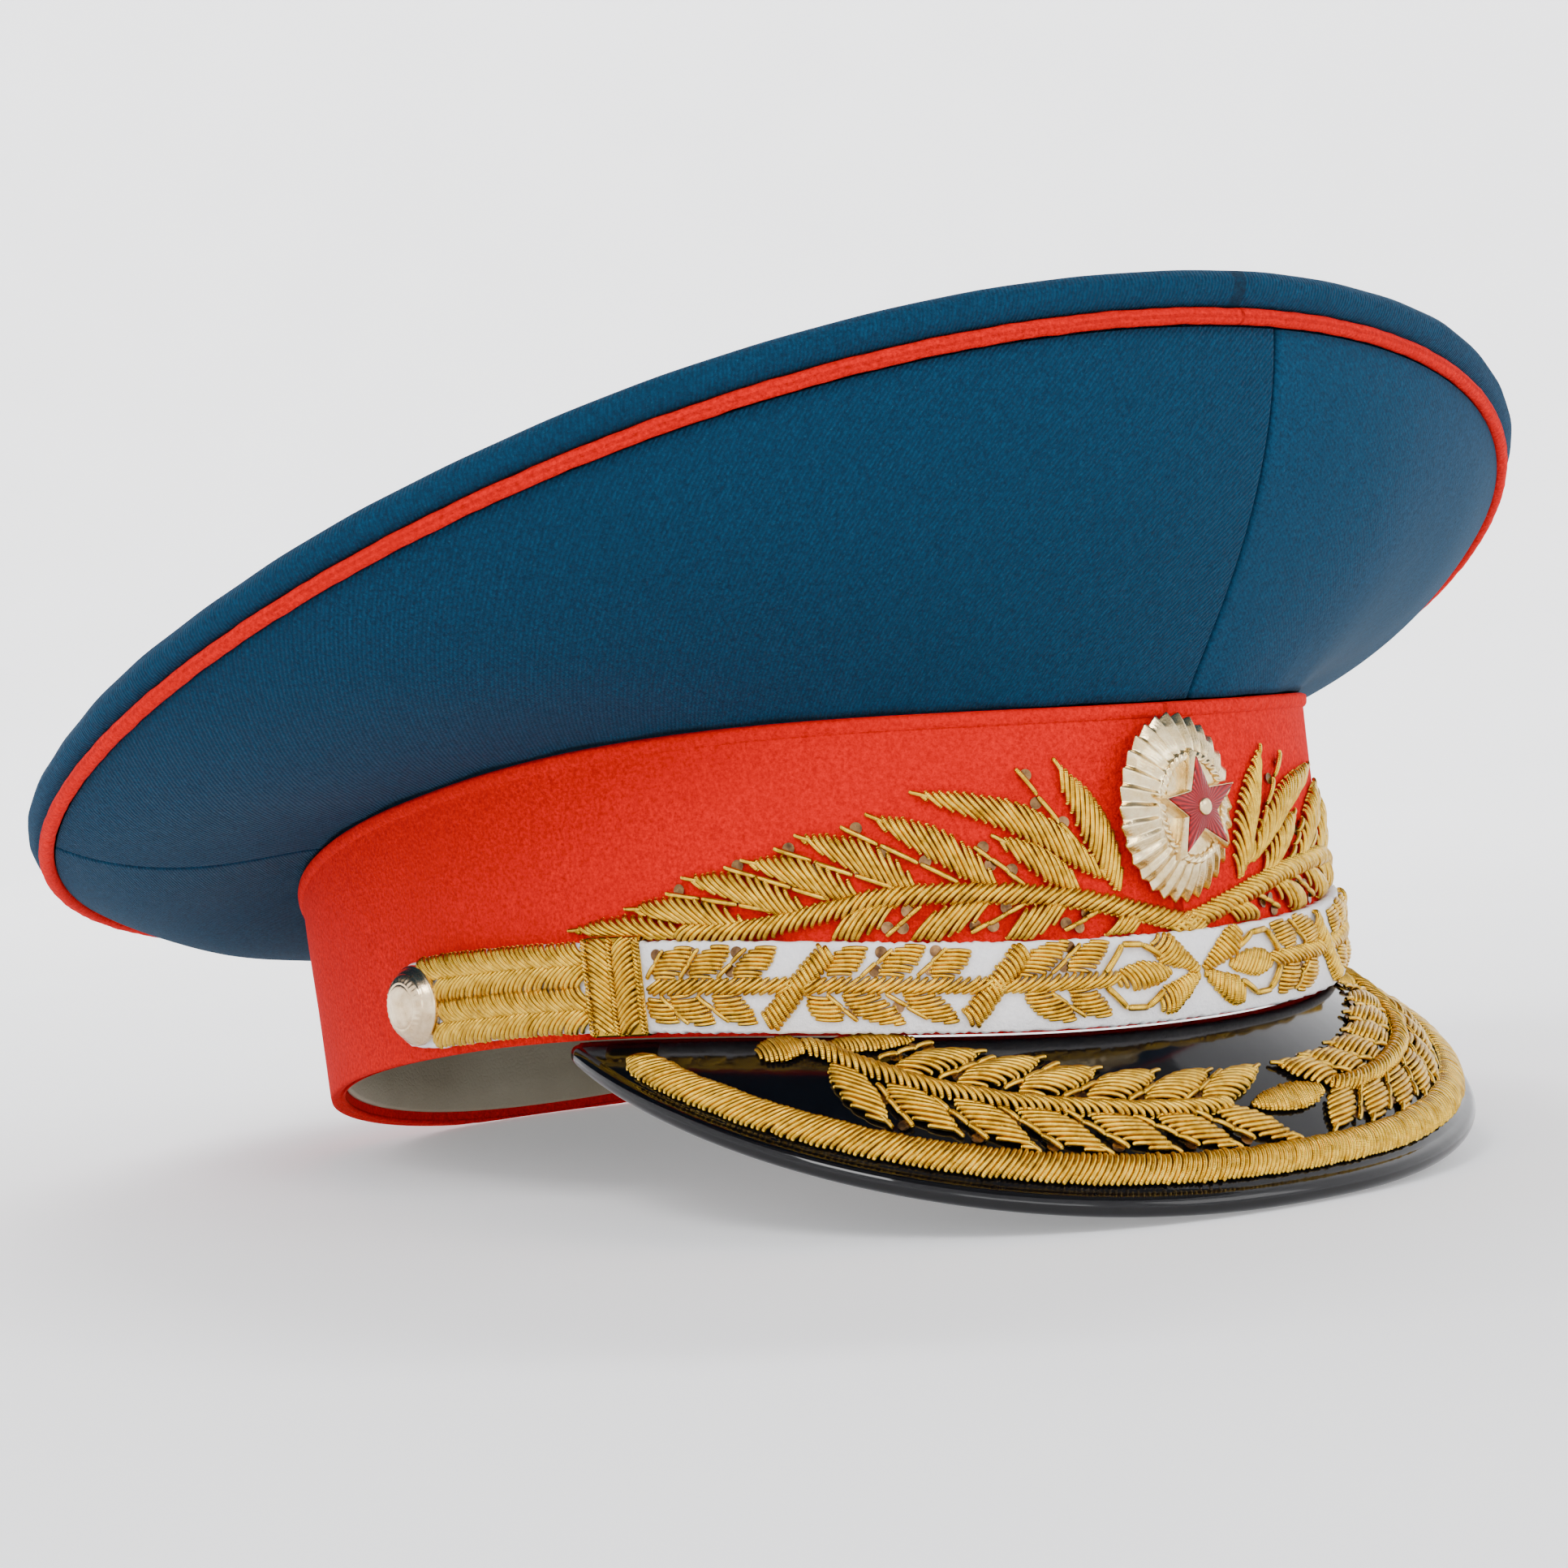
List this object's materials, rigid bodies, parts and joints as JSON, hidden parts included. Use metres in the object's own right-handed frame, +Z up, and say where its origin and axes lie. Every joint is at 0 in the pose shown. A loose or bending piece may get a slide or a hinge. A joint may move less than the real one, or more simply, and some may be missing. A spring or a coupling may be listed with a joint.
{
  "type": "visor cap",
  "caption": "Dress visor cap with a wide front-raised crown, red band, embroidered laurel sprays, patent visor, strap, buttons and an oval cockade.",
  "frame": {"origin": "on the surface that the cap lies on, under the middle of its overall box", "axes": "+Z up, -Y the front with the visor, -X the wearer's right; the cap lies on its visor's edge and the back of its rim"},
  "size_m": [0.302, 0.2796, 0.1546],
  "materials": {
    "crown_cloth": "napped wool gabardine",
    "red_cloth": "napped wool broadcloth",
    "sweatband_leather": "smooth leather",
    "patent": "glossy patent",
    "gold_purl": "coiled gilt wire",
    "white_felt": "felt",
    "pale_gilt": "pale gilt",
    "red_enamel": "translucent enamel"
  },
  "bodies": {
    "root": {"crown_top": "crown_cloth", "side_panel_front_right": "crown_cloth", "side_panel_front_left": "crown_cloth", "side_panel_back_right": "crown_cloth", "side_panel_back_left": "crown_cloth", "crown_piping": "red_cloth", "band": "red_cloth", "band_welt": "red_cloth", "sweatband": "sweatband_leather", "visor": "patent", "visor_border": "gold_purl", "visor_spray_right": "gold_purl", "visor_spray_left": "gold_purl", "band_spray_right": "gold_purl", "band_spray_left": "gold_purl", "strap": "white_felt", "strap_spray_right": "gold_purl", "strap_spray_left": "gold_purl", "keeper_right": "gold_purl", "keeper_left": "gold_purl", "button_right": "pale_gilt", "button_left": "pale_gilt", "cockade_rosette": "pale_gilt", "cockade_star": "pale_gilt", "cockade_enamel": "red_enamel"}
  },
  "joints": []
}
